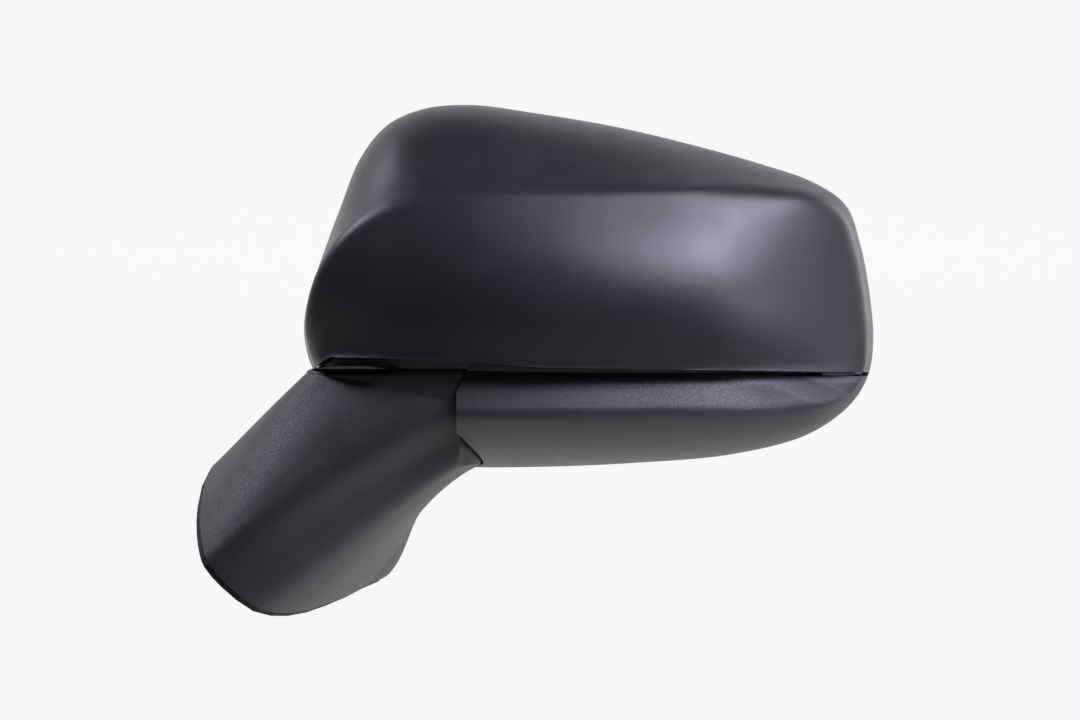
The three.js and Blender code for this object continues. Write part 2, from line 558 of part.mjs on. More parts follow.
function makeFrame() {
  const ring = cut(box(-FAR, FAR, RING_Y.front, RING_Y.back, -FAR, FAR), plate(opening(9), -60, 0));
  const platform = cut(box(82, 186, PLATFORM_Y.front, PLATFORM_Y.back, 48, 156),
    rod('y', GLASS.x, GLASS.z, 30, -70, -40, 32));
  const webs = [
    box(80, 84, PLATFORM_Y.front, RING_Y.back, 46, 168),
    box(182, 186, PLATFORM_Y.front, RING_Y.back, 42, 158),
    box(80, 186, PLATFORM_Y.front, RING_Y.back, 153, 157),
    box(80, 186, PLATFORM_Y.front, RING_Y.back, 47, 50),
    box(PIVOT.x, 82, PIVOT.y - 3, PIVOT.y + 3, 74, 112),
  ];
  const floor = box(-FAR, 100, -FAR, SPLIT_Y - 3, KNUCKLE_TOP + 0.5, 74.4);
  const tower = rod('z', PIVOT.x, PIVOT.y, 19.5, 72, 112, 32);
  const below = box(-FAR, FAR, -FAR, FAR, -FAR, KNUCKLE_TOP + 0.5);
  const round = rod('z', PIVOT.x, PIVOT.y, SWEEP_R + 3.2, -FAR, FAR, 48);
  const lowTail = box(-FAR, TAIL_X + 3, -FAR, FAR, -FAR, FAR);
  let frame = common(join(ring, platform, ...webs, floor, tower), insideHead);
  frame = cut(frame, common(below, join(round, lowTail)));
  frame = cut(frame,
    rod('z', PIVOT.x, PIVOT.y, 17, 78, 130, 32),
    rod('z', PIVOT.x, PIVOT.y, 10.4, 60, 130, 24),
    rod('z', PIVOT.x, PIVOT.y, 20.4, 60, 73.2, 32));
  for (const tab of TABS) frame = cut(frame, tabBody(...tab, TAB.play));
  frame = cut(frame, rod('x', LEAD.y, LEAD.z, 4, 70, 90, 16));
  for (const [x, z] of EARS) frame = cut(frame, rod('y', x, z, 1.9, -70, -50, 12));
  add(head, 'head_frame', frame, framePlastic);

  let lugs = tube('z', PIVOT.x, PIVOT.y, SHAFT_R + 1.5, 20, 70.6, 72.9, 24);
  for (let i = 0; i < 4; i++) {
    const lug = new THREE.BoxGeometry(10, 5.4, 0.8);
    lug.translate(14.5, 0, 0).rotateZ((i * Math.PI) / 2).translate(PIVOT.x, PIVOT.y, 70.5);
    lugs = join(lugs, solid(lug));
  }
  add(head, 'detent_ring', lugs, steel);
  const bush = join(tube('z', PIVOT.x, PIVOT.y, SHAFT_R + GAP, 10, 73.4, 79.4),
    tube('z', PIVOT.x, PIVOT.y, SHAFT_R + GAP, 11.4, 78.35, 79.4));
  add(head, 'pivot_bush', bush, acetal);
}

// ---- Glass actuator -----------------------------------------------------------------------------

// The two drives are alike: yaw works to the right of the gimbal, pitch above it.
const DRIVES = [
  { name: 'yaw', gear: [GLASS.x + ARM, GLASS.z], axis: 'z', a: GLASS.x + ARM - WORM_OFFSET, b: GLASS.z },
  { name: 'pitch', gear: [GLASS.x, GLASS.z + ARM], axis: 'x', a: GLASS.x, b: GLASS.z + ARM - WORM_OFFSET },
];
const GEAR = { teeth: 12, root: 7.6, tip: 9.3, half: 4, bore: 3.7 };
const WORM = { core: 2.9, tip: 4, half: 7.5, shaft: 1.5, motor: 8, motorFrom: -33, motorTo: -10.6 };

function gearBody(x, z) {
  const outline = Array.from({ length: 4 * GEAR.teeth }, (_, i) => {
    const a = (2 * Math.PI * (i + 0.5)) / (4 * GEAR.teeth);
    const r = i % 4 < 2 ? GEAR.tip : GEAR.root;
    return [x + r * Math.cos(a), z + r * Math.sin(a)];
  });
  return cut(plate(outline, DRIVE_Y - GEAR.half, DRIVE_Y + GEAR.half),
    rod('y', x, z, GEAR.bore, -60, 0, 16));
}

// A two-start worm along its own Z, then laid on the drive's axis.
function onDrive(drive, geometry) {
  if (drive.axis === 'x') geometry.rotateY(Math.PI / 2);
  return geometry.translate(drive.a, DRIVE_Y, drive.b);
}

function wormBody(drive) {
  const steps = 14;
  const start = (phase) => Array.from({ length: steps + 1 }, (_, i) => {
    const a = phase + (2 * Math.PI * 1.5 * i) / steps;
    const height = WORM.half - 1.6;
    return new THREE.Vector3(3.1 * Math.cos(a), 3.1 * Math.sin(a), height * (2 * i / steps - 1));
  });
  const core = new THREE.CylinderGeometry(WORM.core, WORM.core, 2 * WORM.half, 16).rotateX(Math.PI / 2);
  const length = WORM.half - WORM.motorTo - GAP;
  const shaft = new THREE.CylinderGeometry(WORM.shaft, WORM.shaft, length, 10).rotateX(Math.PI / 2);
  shaft.translate(0, 0, WORM.motorTo + GAP + length / 2);
  let body = join(solid(onDrive(drive, core)), solid(onDrive(drive, shaft)));
  for (const phase of [0, Math.PI]) {
    const shape = new THREE.Shape([[-0.7, -0.7], [0.7, -0.7], [0.7, 0.7], [-0.7, 0.7]]
      .map(([x, y]) => new THREE.Vector2(x, y)));
    const extrudePath = new THREE.CatmullRomCurve3(start(phase));
    const thread = new THREE.ExtrudeGeometry(shape, { steps, extrudePath, curveSegments: 1 });
    body = join(body, solid(onDrive(drive, thread)));
  }
  return body;
}

function motorBody(drive) {
  const length = WORM.motorTo - WORM.motorFrom;
  const can = new THREE.CylinderGeometry(WORM.motor, WORM.motor, length, 20).rotateX(Math.PI / 2);
  can.translate(0, 0, WORM.motorFrom + length / 2);
  return solid(onDrive(drive, can));
}

function plungerBody(x, z) {
  const ball = { y: GIMBAL_Y + 3.5, r: 3.9 };
  const profile = [[0, -43.4], [3.2, -43.4], [3.2, -12.5], [2, -11.5]];
  for (let i = 0; i <= 5; i++) {
    const a = -1.03 + ((1.03 + Math.PI / 2) * i) / 5;
    profile.push([Math.max(0, ball.r * Math.cos(a)), ball.y + ball.r * Math.sin(a)]);
  }
  return turned('y', x, z, profile, 16);
}

function makeActuator() {
  const { radius, wall, back, lid, lidThick } = ACTUATOR;
  const { x, z } = GLASS;
  let base = turned('y', x, z, [[0, back], [radius, back], [radius, lid],
    [radius - wall, lid], [radius - wall, back + wall], [0, back + wall]], 40);
  for (const [ex, ez] of EARS) {
    const ear = rod('y', ex, ez, 5, back - 1.9, back + 2.6, 16);
    base = cut(join(base, cut(ear, rod('y', x, z, radius - 1, -60, 0, 40))),
      rod('y', ex, ez, 2, -70, -40, 12));
  }
  add(head, 'actuator_base', base, acetal);
  EARS.forEach(([ex, ez], i) => {
    const shank = rod('y', ex, ez, 1.5, -58, back + 3, 10);
    const screwHead = rod('y', ex, ez, 3.2, back + 2.95, back + 5, 14);
    add(head, `actuator_screw_${i + 1}`, join(shank, screwHead), steel);
  });

  const deck = lid + GAP + lidThick;
  let cover = join(rod('y', x, z, radius, lid + GAP, deck, 40),
    tube('y', x, z, radius - wall - 2.4, radius - wall - 0.4, lid - 3, lid + GAP + 1, 40));
  for (const from of FORK) {
    cover = join(cover, box(x - 4, x + 4, deck - 1, GIMBAL_Y + 4.2, z + from, z + from + FORK_WIDE));
  }
  cover = cut(cover, rod('z', x, GIMBAL_Y, 2.45, z - 22, z + 22, 14));
  for (const { gear } of DRIVES) cover = cut(cover, rod('y', ...gear, 4.2, -40, 0, 16));
  add(head, 'actuator_cover', cover, acetal);

  for (const drive of DRIVES) {
    add(head, `gear_${drive.name}`, gearBody(...drive.gear), acetal);
    add(head, `worm_${drive.name}`, wormBody(drive), steel);
    add(head, `motor_${drive.name}`, motorBody(drive), steel);
    add(head, `plunger_${drive.name}`, plungerBody(...drive.gear), acetal);
  }

  const gimbal = join(tube('y', x, z, 10.4, 13.8, GIMBAL_Y - 3, GIMBAL_Y + 3, 28),
    ...[[-18.6, -13], [13, 18.6]].flatMap(([from, to]) => [
      rod('z', x, GIMBAL_Y, 2.1, z + from, z + to, 12), rod('x', GIMBAL_Y, z, 2.1, x + from, x + to, 12)]));
  add(head, 'gimbal_ring', gimbal, acetal);
}

// ---- Glass pack -----------------------------------------------------------------------------------

function makeGlass() {
  const { x, z, y, thick, heater, holder, gap, lip } = GLASS;
  const back = y - thick;
  const heaterFront = back - GAP - heater;
  const front = heaterFront - GAP - holder;
  add(head, 'mirror_glass', plate(opening(gap + lip + GAP), back, y), silvered);
  add(head, 'heater_pad', plate(opening(gap + lip + 4), heaterFront, back - GAP), heaterFoil);

  let body = cut(plate(opening(gap), front, y + 0.5),
    plate(opening(gap + lip), heaterFront - GAP, y + 5));
  for (const from of FORK) {
    body = join(body, box(x + from, x + from + FORK_WIDE, GIMBAL_Y - 5, front + 0.5, z - 4, z + 4));
  }
  for (const { gear } of DRIVES) {
    body = join(body, tube('y', ...gear, 5.4, 6.6, GIMBAL_Y + 0.4, front + 0.5, 20));
  }
  body = cut(body, rod('x', GIMBAL_Y, z, 2.45, x - 22, x + 22, 14));
  add(head, 'glass_holder', body, framePlastic);
}

function makeHarness() {
  const { x, y, z } = LEAD;
  add(head, 'harness_connector', box(x, x + 10, y - 4, y + 4, z - 5, z + 5), framePlastic);
  const route = [[PIVOT.x, PIVOT.y, 128.5], [PIVOT.x, PIVOT.y, 133], [53, -40, 139], [66, -45, z],
    [78, y, z], [x - GAP, y, z]];
  add(head, 'head_harness', cable(route, 2.5, 20), rubber);
}

makeFoot();
makeShells();
makeFrame();
makeActuator();
makeGlass();
makeHarness();

export default mirror;
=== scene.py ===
"""Left door mirror of a car: shells, glass, materials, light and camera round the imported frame."""
import json
import math

import bmesh
import bpy
import numpy as np
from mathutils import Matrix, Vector


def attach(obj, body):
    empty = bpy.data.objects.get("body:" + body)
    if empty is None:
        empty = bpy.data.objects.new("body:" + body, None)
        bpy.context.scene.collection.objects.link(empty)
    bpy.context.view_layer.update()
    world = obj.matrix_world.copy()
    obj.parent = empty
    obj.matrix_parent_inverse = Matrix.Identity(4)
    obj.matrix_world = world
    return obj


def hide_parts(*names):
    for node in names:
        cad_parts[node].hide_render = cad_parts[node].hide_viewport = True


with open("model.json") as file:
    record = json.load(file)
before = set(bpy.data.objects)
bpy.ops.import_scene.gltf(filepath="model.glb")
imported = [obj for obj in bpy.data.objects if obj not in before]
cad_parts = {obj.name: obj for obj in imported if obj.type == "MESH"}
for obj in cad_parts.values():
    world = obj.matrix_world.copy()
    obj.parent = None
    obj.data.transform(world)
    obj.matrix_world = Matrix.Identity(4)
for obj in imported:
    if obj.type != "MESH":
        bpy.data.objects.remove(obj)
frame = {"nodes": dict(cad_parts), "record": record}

MM = 0.001

# ---- Sizes, in millimetres, the same as the part's own ----------------------------------------

GAP = 0.35
PIVOT = (47.0, -38.0)
SWEEP_R = 48.2
CONE_FROM, CONE_TO, CONE_LOW = 24.0, 52.0, 35.7
COVER_HOLE = 22.0
TAIL_X = 66.0
SEAM_Z, SEAM_SLOPE, SEAM_HALF = 71.2, -0.015, 0.9
RIM_Y, WIDEST_Y, SPLIT_Y = 14.0, -6.0, -8.0
APEX = (122.0, 98.0)
GLASS_GAP, GLASS_LIP = 3.6, 1.8
GLASS_Y, GLASS_THICK = 6.0, 2.4
DOOR_YAW, DOOR_LEAN = math.radians(32), math.radians(37)
SEAL = 2.8
FOOT_LEAVE = 17.0

# ---- Sizes of the visual model alone, in millimetres ------------------------------------------

# Walls of the outer shells, of the cap, of the round cut's seat and of the rear opening.
WALL, CAP_WALL, SEAT_WALL, OPENING_WALL = 2.6, 2.4, 2.4, 2.2
# Rounding of the shells' edges, and of the cap's and the rear housing's.
SHELL_ROUND, CAP_ROUND, HOUSING_ROUND = 0.6, 1.1, 0.9
# The rear rim: how deep and how far inwards it rounds, and the thickness of its flat.
RIM_DEPTH, RIM_INSET, RIM_WALL = 10.0, 3.0, 3.2
KNUCKLE_R, KNUCKLE_TOP, KNUCKLE_GAP = 47.0, 69.9, 0.1
CROWN_EDGE = 3.0
BOSS_R, BOSS_UP = 28.0, 1.2
# The cap's lower edge: lift over the knuckle, and how far and how high it flares.
EDGE_LIFT, EDGE_FLARE, FLARE_HIGH = 3.0, 0.9, 3.0
# The band below the seam: how far it tips back at the top and forward at the fold line.
BAND_RECESS, BAND_PUSH, BAND_HIGH = 7.0, 6.0, 16.0
# The roll at the band's top edge: how deep and how high.
ROLL_DEEP, ROLL_HIGH = 1.8, 4.0
# The lower cover ends here in front of the knuckle, and further back it goes on to the sweep.
PARTING_X, PARTING_Y = 75.2, -60.0
# Lips of the cap behind the seam: how far inside the skin, and where they start.
LIP_INSET = 2.6
LINER_INSET, LINER_FROM = BAND_RECESS + 2.9, 79.5
OUTBOARD_FROM = 226.0
# An inset skin moves back by this much for each millimetre of its inset.
INSET_BACK = 0.9
# Limits of the blocks that cut the head: beyond it across, up, in front and behind, and well
# ahead of the rear housing.
ACROSS, TALL = (-50, 300), (-50, 250)
FAR_FRONT, FAR_BACK, AHEAD = -100, 60, -60

# ---- Tables of points, in millimetres ---------------------------------------------------------

# Outline of the head (x, z) and the point of the front edge it leads to (x, z, y).
HEAD_ROWS = [
    (12.4, 74, 14.6, 76, -46), (10.5, 88, 12.5, 90, -48), (15, 107, 17.5, 110, -53),
    (25, 136, 29, 125.5, -59), (34, 158.5, 44, 135, -63), (45, 172, 60, 139.6, -66),
    (60, 178.8, 80, 141, -68.5), (80, 180.6, 100, 141.7, -69.5), (108, 177, 126, 142.2, -69),
    (140, 171.6, 152, 142.9, -66.5), (172, 164.1, 178, 143.6, -61), (202, 155.7, 204, 143, -52.5),
    (224, 148, 223, 140, -43), (237.5, 138.5, 234.5, 131.5, -34), (243.8, 121.5, 240, 117, -28),
    (248, 98, 243.5, 96, -26), (249.1, 82, 244.5, 80, -26), (247.2, 68, 243, 67, -27.5),
    (240, 55.5, 235, 58.5, -33), (222, 42.5, 214, 53.3, -45), (190, 34, 184, 52.3, -62),
    (150, 30.4, 148, 51.8, -73), (110, 28.7, 112, 51.4, -78), (75, 28.8, 78, 51.4, -76),
    (45, 32, 48, 53, -68), (24, 42, 27, 57, -58), (19, 60, 20, 67, -53),
]

# Outline (x, z) of the rear opening.
OPENING = [
    (21.5, 92), (27, 112), (36, 137), (46, 158), (58, 167), (76, 170.5), (106, 167.5),
    (140, 161.5), (172, 154), (204, 145), (224, 137), (232.5, 124), (237, 100), (238, 82),
    (234, 66), (222, 53), (198, 44.5), (166, 40.5), (140, 42.5), (120, 50.5), (103, 63), (86, 73),
    (62, 78.5), (40, 80), (26, 83),
]

# Heights of the face (x, z, y) that its sheet is drawn towards.
FACE_POINTS = [
    (122, 98, -90), (90, 98, -87.6), (60, 98, -80.5), (35, 98, -68), (155, 98, -86.5),
    (185, 98, -75.5), (210, 98, -59.5), (230, 98, -41.5), (122, 120, -85), (80, 120, -81.5),
    (50, 116, -72.5), (165, 120, -78.5), (200, 120, -62), (122, 75, -88), (80, 72, -83.5),
    (165, 75, -81.5), (200, 75, -66.5),
]

# Door face (s, t), knuckle base (x, y, z) and the way a row arrives there.
FOOT_ROWS = [
    ((0, 39), (13.2, -15, 68), (-12, 7, -10)), ((-22, 35), (12.6, -31, 68), (-13, 5, -10.5)),
    ((-47, 16), (14, -46, 68), (-13, 3, -12)), ((-58.5, 3), (27, -57, 66), (-14, 0, -12)),
    ((-65, -7), (50, -68.6, 61), (-22, 0, -13)), ((-67.5, -14), (75.3, -74.4, 54), (-27, 0, -10)),
    ((-64, -24.5), (76.4, -68, 42), (-24, 8, -11)), ((-52, -37.5), (76.6, -61, 31), (-20, 8, -9)),
    ((-30, -41), (82, -51, 30.5), (-20, 6, -8)), ((0, -37.5), (84.5, -38, 30), (-20, 8, -8)),
    ((35, -30), (80.4, -21.4, 29.5), (-18, 10, -8)), ((62, -22), (67.6, -7, 29), (-12, 14, -9)),
    ((74, 0), (51, -0.6, 28.5), (-2, 18, -9)), ((60, 22), (36.4, -2, 28), (-4, 15, -6)),
    ((42, 32), (27, -6, 28), (-5, 10, -4)), ((20, 38), (15, -4.5, 62), (-9, 9, -12)),
]

# ---- Steps of the grids -----------------------------------------------------------------------

HEAD_STEPS, RIM_STEPS, SIDE_STEPS, FACE_STEPS = 10, 8, 26, 30
FOOT_STEPS, FOOT_ROW_STEPS, WALL_STEPS = 40, 14, 12
OPENING_STEPS = 12
SWEEP_STEPS = 192
# How far the face's sheet may pass its front edge and its points, and the circles in
# millimetres over which its height is evened out.
EDGE_EASE, FACE_EASE = 0.05, 30.0
EVEN_RADII = (6, 12)
# How often rings are averaged at the fold line, at the soft front edge and at the foot's joint,
# and how many rings on each side of them are reached.
FOLD_PASSES, EDGE_PASSES, JOINT_PASSES = 2, 24, 10
FOLD_REACH, EDGE_REACH, JOINT_REACH = 3.0, 12.0, 9
# Two points closer to a cut than this, in metres, lie on it.
SNAP = 4e-5

# ---- Curves and grids -------------------------------------------------------------------------


def ramp(value, start, end):
    """Goes from 0 at the start to 1 at the end."""
    return np.clip((value - start) / (end - start), 0, 1)


def smooth(t):
    return t * t * (3 - 2 * t)


def closed_curve(points, per_point):
    """Centripetal Catmull-Rom curve through a closed row of points, sampled evenly per point."""
    points = np.array(points, float)
    t = (np.arange(per_point) / per_point)[None, :, None]
    p0, p1, p2, p3 = (np.roll(points, k, axis=0) for k in (1, 0, -1, -2))
    d0, d1, d2 = (
        np.sqrt(np.linalg.norm(b - a, axis=1))[:, None]
        for a, b in ((p0, p1), (p1, p2), (p2, p3))
    )
    m1 = ((p1 - p0) / d0 - (p2 - p0) / (d0 + d1) + (p2 - p1) / d1) * d1
    m2 = ((p2 - p1) / d1 - (p3 - p1) / (d1 + d2) + (p3 - p2) / d2) * d1
    p1, p2, m1, m2 = (a[:, None, :] for a in (p1, p2, m1, m2))
    curve = p1 + m1 * t + (3 * (p2 - p1) - 2 * m1 - m2) * t**2 + (2 * (p1 - p2) + m1 + m2) * t**3
    return curve.reshape(-1, points.shape[1])


def inset_loop(loop, distance):
    """Moves a clockwise loop in x and z inwards. Columns are x, y, z."""
    way = np.roll(loop, -1, axis=0) - np.roll(loop, 1, axis=0)
    length = np.hypot(way[:, 0], way[:, 2])
    moved = loop.copy()
    moved[:, 0] += distance * way[:, 2] / length
    moved[:, 2] -= distance * way[:, 0] / length
    return moved


def bezier(t, a, b, c, d):
    return a * (1 - t) ** 3 + 3 * b * t * (1 - t) ** 2 + 3 * c * t * t * (1 - t) + d * t**3


class Sheet:
    """A thin bent plate over x and z, through the front edge and close to the face's points."""

    def __init__(self, edge):
        held = np.array(FACE_POINTS, float)
        self.points = np.vstack([edge[:, [0, 2]], held[:, :2]])
        heights = np.concatenate([edge[:, 1], held[:, 2]])
        count = len(heights)
        ease = np.concatenate([np.full(len(edge), EDGE_EASE), np.full(len(held), FACE_EASE)])
        system = np.zeros((count + 3, count + 3))
        system[:count, :count] = self.bend(self.points) + np.diag(ease)
        plane = np.column_stack([np.ones(count), self.points / 100])
        system[:count, count:] = plane
        system[count:, :count] = plane.T
        solved = np.linalg.solve(system, np.concatenate([heights, np.zeros(3)]))
        self.weights, self.plane = solved[:count], solved[count:]

    def bend(self, places):
        square = ((places[:, None] - self.points[None]) ** 2).sum(2) / 1e4
        return 100 * square * np.log(np.maximum(square, 1e-12))

    def height(self, places):
        flat = np.column_stack([np.ones(len(places)), places / 100])
        return self.bend(places) @ self.weights + flat @ self.plane

    def __call__(self, places):
        """The height, evened out over a small circle round each place."""
        around = [(0, 0)] + [
            (r * math.cos(math.radians(a)), r * math.sin(math.radians(a)))
            for r in EVEN_RADII for a in range(0, 360, 45)]
        return np.mean([self.height(places + np.array(step)) for step in around], axis=0)


def fullness(z):
    """How far the skin below the seam is drawn out towards the front edge."""
    return ramp(z, 66, 54)[:, None]


def head_rings(inset=0.0):
    """Rings of points over the head, from the rear rim over the widest outline to the apex."""
    outline = np.array([(x, WIDEST_Y, z) for x, z, *_ in HEAD_ROWS], float)
    edge = np.array([(x, y, z) for *_, x, z, y in HEAD_ROWS], float)
    sheet = Sheet(closed_curve(edge, 3))
    edge[:, 1] += INSET_BACK * inset
    side = closed_curve(inset_loop(outline, inset), HEAD_STEPS)
    front = closed_curve(inset_loop(edge, inset), HEAD_STEPS)
    full = fullness(closed_curve(edge, HEAD_STEPS)[:, 2])
    rings = []
    for k in range(RIM_STEPS + 1):
        a = math.pi / 2 * (1 - k / RIM_STEPS)
        ring = inset_loop(side, RIM_INSET * (1 - math.cos(a)))
        ring[:, 1] = RIM_Y - RIM_DEPTH + RIM_DEPTH * math.sin(a)
        rings.append(ring)
    # Two straight rings lead on to the widest outline, and the next ones over the side.
    for y in (1.0, -2.5):
        ring = side.copy()
        ring[:, 1] = y
        rings.append(ring)
    for k in range(SIDE_STEPS):
        t = k / SIDE_STEPS
        inwards = bezier(t, 0, 0, 0.4 - 0.25 * full, 1)
        forwards = bezier(t, 0, 0.4, 0.6 + 0.2 * full, 1)
        rings.append(side + (front - side) * np.hstack([inwards, forwards, inwards]))
    crease = len(rings)
    middle = np.array([APEX[0], 0.0, APEX[1]])
    for k in range(FACE_STEPS):
        inwards = math.sin(math.pi / 2 * k / FACE_STEPS) ** 1.2
        ring = front + (middle - front) * inwards
        ring[:, 1] = sheet(ring[:, [0, 2]]) + INSET_BACK * inset
        if k == 0:
            ring[:, 1] = front[:, 1]
        rings.append(ring)
    middle[1] = sheet(np.array([APEX]))[0] + INSET_BACK * inset
    return np.array(rings), crease, middle


def average(rings, share):
    """Moves each ring towards the mean of its neighbours by a share of the way."""
    mean = rings.copy()
    mean[1:-1] = (rings[:-2] + 2 * rings[1:-1] + rings[2:]) / 4
    return rings + (mean - rings) * share


def soften(rings, crease):
    """Rounds the front edge by averaging rings: crisp along the fold line, soft outboard."""
    front = rings[crease]
    outboard = ramp(front[:, 0], 175, 230) * ramp(front[:, 2], 58, 100)
    reach = FOLD_REACH + (EDGE_REACH - FOLD_REACH) * outboard
    index = np.arange(len(rings))[:, None]
    fade = smooth(np.clip(1 - np.abs(index - crease) / reach, 0, 1)[:, :, None])
    for k in range(EDGE_PASSES):
        rings = average(rings, fade if k < FOLD_PASSES else fade * outboard[None, :, None])
    return rings


def grid(rings):
    """Points in metres and four-sided faces through closed rings of points in millimetres."""
    count = rings.shape[1]
    points = list(map(tuple, rings.reshape(-1, 3) * MM))
    faces = []
    for r in range(len(rings) - 1):
        for i in range(count):
            j = (i + 1) % count
            faces.append((r * count + i, (r + 1) * count + i, (r + 1) * count + j, r * count + j))
    return points, faces


def grid_mesh(name, rings, cap_first=None, cap_last=None):
    """A mesh through rings of points, closed by end points where they are given."""
    count = rings.shape[1]
    points, faces = grid(rings)
    if cap_first is not None:
        points.append(tuple(np.array(cap_first) * MM))
        faces += [(i, (i + 1) % count, len(points) - 1) for i in range(count)]
    if cap_last is not None:
        points.append(tuple(np.array(cap_last) * MM))
        last = (len(rings) - 1) * count
        faces += [(last + (i + 1) % count, last + i, len(points) - 1) for i in range(count)]
    mesh = bpy.data.meshes.new(name)
    mesh.from_pydata(points, [], faces)
    mesh.validate()
    return mesh


def new_object(name, mesh):
    obj = bpy.data.objects.new(name, mesh)
    bpy.context.collection.objects.link(obj)
    return obj


def outwards(mesh):
    """Turns all faces of a mesh outwards."""
    bm = bmesh.new()
    bm.from_mesh(mesh)
    bmesh.ops.recalc_face_normals(bm, faces=bm.faces)
    bm.to_mesh(mesh)
    bm.free()


# ---- Slicing an open skin along a field -------------------------------------------------------


def keep_where(bm, field):
    """Cuts a skin where a field is 0 and keeps the side where it is positive, in millimetres."""
    value = {}
    for v in bm.verts:
        f = field(*(v.co / MM)) * MM
        value[v] = 0.0 if abs(f) < SNAP else f

    def crossed(face):
        values = [value[v] for v in face.verts]
        return min(values) < 0 < max(values)

    bmesh.ops.triangulate(bm, faces=[f for f in bm.faces if len(f.verts) > 3 and crossed(f)])
    for e in list(bm.edges):
        a, b = e.verts
        if value[a] * value[b] < 0:
            _, v = bmesh.utils.edge_split(e, a, value[a] / (value[a] - value[b]))
            value[v] = 0.0
    for f in list(bm.faces):
        if crossed(f):
            on = [v for v in f.verts if value[v] == 0.0]
            if len(on) == 2:
                bmesh.utils.face_split(f, on[0], on[1])
    gone = [f for f in bm.faces if min(value[v] for v in f.verts) < 0]
    bmesh.ops.delete(bm, geom=gone, context="FACES")
    loose = [v for v in bm.verts if not v.link_faces]
    bmesh.ops.delete(bm, geom=loose, context="VERTS")


def seam_at(x):
    """Height of the seam's middle."""
    return SEAM_Z + SEAM_SLOPE * x


def cap_edge(x):
    """Height of the cap's lower edge, which lifts over the knuckle and comes down at its end."""
    lift = ramp(x, 110, 20)
    edge = seam_at(x) + SEAM_HALF + EDGE_LIFT * lift * (2 - lift)
    clear = KNUCKLE_TOP + KNUCKLE_GAP
    return clear + (edge - KNUCKLE_TOP - KNUCKLE_GAP) * smooth(ramp(x, 15, 23))


def above_seam(up):
    """A field that keeps what is higher than a line at a distance above the seam's middle."""
    return lambda x, y, z: z - seam_at(x) - up


def below_seam(up):
    """A field that keeps what is lower than a line at a distance above the seam's middle."""
    return lambda x, y, z: seam_at(x) + up - z


def outboard_of(limit):
    """A field that keeps what is further outboard than a limit."""
    return lambda x, y, z: x - limit


def before_split(x, y, z):
    """A field that keeps what is in front of the rear housing."""
    return SPLIT_Y - GAP - y


def outside_sweep(x, y, z):
    """A field that keeps what is outside the round space that the knuckle turns in."""
    radius = CONE_LOW + (SWEEP_R - CONE_LOW) * ramp(z, CONE_FROM, CONE_TO)
    return math.hypot(x - PIVOT[0], y - PIVOT[1]) - radius


def cut_sheet(mesh, *fields):
    """Cuts a sheet by fields, in place."""
    bm = bmesh.new()
    bm.from_mesh(mesh)
    for field in fields:
        keep_where(bm, field)
    bmesh.ops.remove_doubles(bm, verts=bm.verts, dist=2e-5)
    bm.to_mesh(mesh)
    bm.free()
    return mesh


def add_mesh(mesh, other):
    """Adds the faces of another mesh, which is then deleted."""
    bm = bmesh.new()
    bm.from_mesh(mesh)
    bm.from_mesh(other)
    bm.to_mesh(mesh)
    bm.free()
    bpy.data.meshes.remove(other)


# ---- Solid pieces -----------------------------------------------------------------------------


def shell(name, mesh, edge, thickness=WALL):
    """A sheet thickened inwards, with its edges rounded."""
    obj = new_object(name, mesh)
    thicken = obj.modifiers.new("wall", "SOLIDIFY")
    thicken.thickness = thickness * MM
    thicken.offset = -1
    thicken.use_even_offset = True
    round_edges(obj, edge, 3, 40)
    return obj


def round_edges(obj, width, segments, angle):
    """Bevels the edges sharper than an angle in degrees and shades the piece smooth."""
    bevel = obj.modifiers.new("edges", "BEVEL")
    bevel.width = width * MM
    bevel.segments = segments
    bevel.limit_method = "ANGLE"
    bevel.angle_limit = math.radians(angle)
    bevel.use_clamp_overlap = True
    obj.data.shade_smooth()
    weigh = obj.modifiers.new("normals", "WEIGHTED_NORMAL")
    weigh.weight = 60
    weigh.keep_sharp = True


def combine(base, other, operation):
    """Joins or cuts one closed piece with another, which is then deleted."""
    boolean = base.modifiers.new("cut", "BOOLEAN")
    boolean.operation = operation
    boolean.solver = "MANIFOLD"
    boolean.object = other
    apply_modifiers(base)
    bpy.data.objects.remove(other)


def apply_modifiers(obj):
    depsgraph = bpy.context.evaluated_depsgraph_get()
    mesh = bpy.data.meshes.new_from_object(obj.evaluated_get(depsgraph))
    obj.modifiers.clear()
    obj.data = mesh


def block(name, x0, x1, y0, y1, z0, z1):
    """A box between limits in millimetres."""
    bm = bmesh.new()
    bmesh.ops.create_cube(bm, size=1)
    for v in bm.verts:
        v.co = Vector(((x0 + (v.co.x + 0.5) * (x1 - x0)) * MM,
                       (y0 + (v.co.y + 0.5) * (y1 - y0)) * MM,
                       (z0 + (v.co.z + 0.5) * (z1 - z0)) * MM))
    mesh = bpy.data.meshes.new(name)
    bm.to_mesh(mesh)
    bm.free()
    return new_object(name, mesh)


def sweep_body(name, extra, low=-60.0, top=150.0):
    """The round space the knuckle turns in, as a closed body, wider by an extra margin."""
    a = np.arange(SWEEP_STEPS) * 2 * math.pi / SWEEP_STEPS
    profile = [(CONE_LOW + extra, low), (CONE_LOW + extra, CONE_FROM), (SWEEP_R + extra, CONE_TO),
               (SWEEP_R + extra, top)]
    rings = np.array([
        np.stack([PIVOT[0] + r * np.cos(a), PIVOT[1] + r * np.sin(a), np.full_like(a, z)], 1)
        for r, z in profile])
    mesh = grid_mesh(name, rings, (*PIVOT, low), (*PIVOT, top))
    outwards(mesh)
    return new_object(name, mesh)


# ---- Materials --------------------------------------------------------------------------------


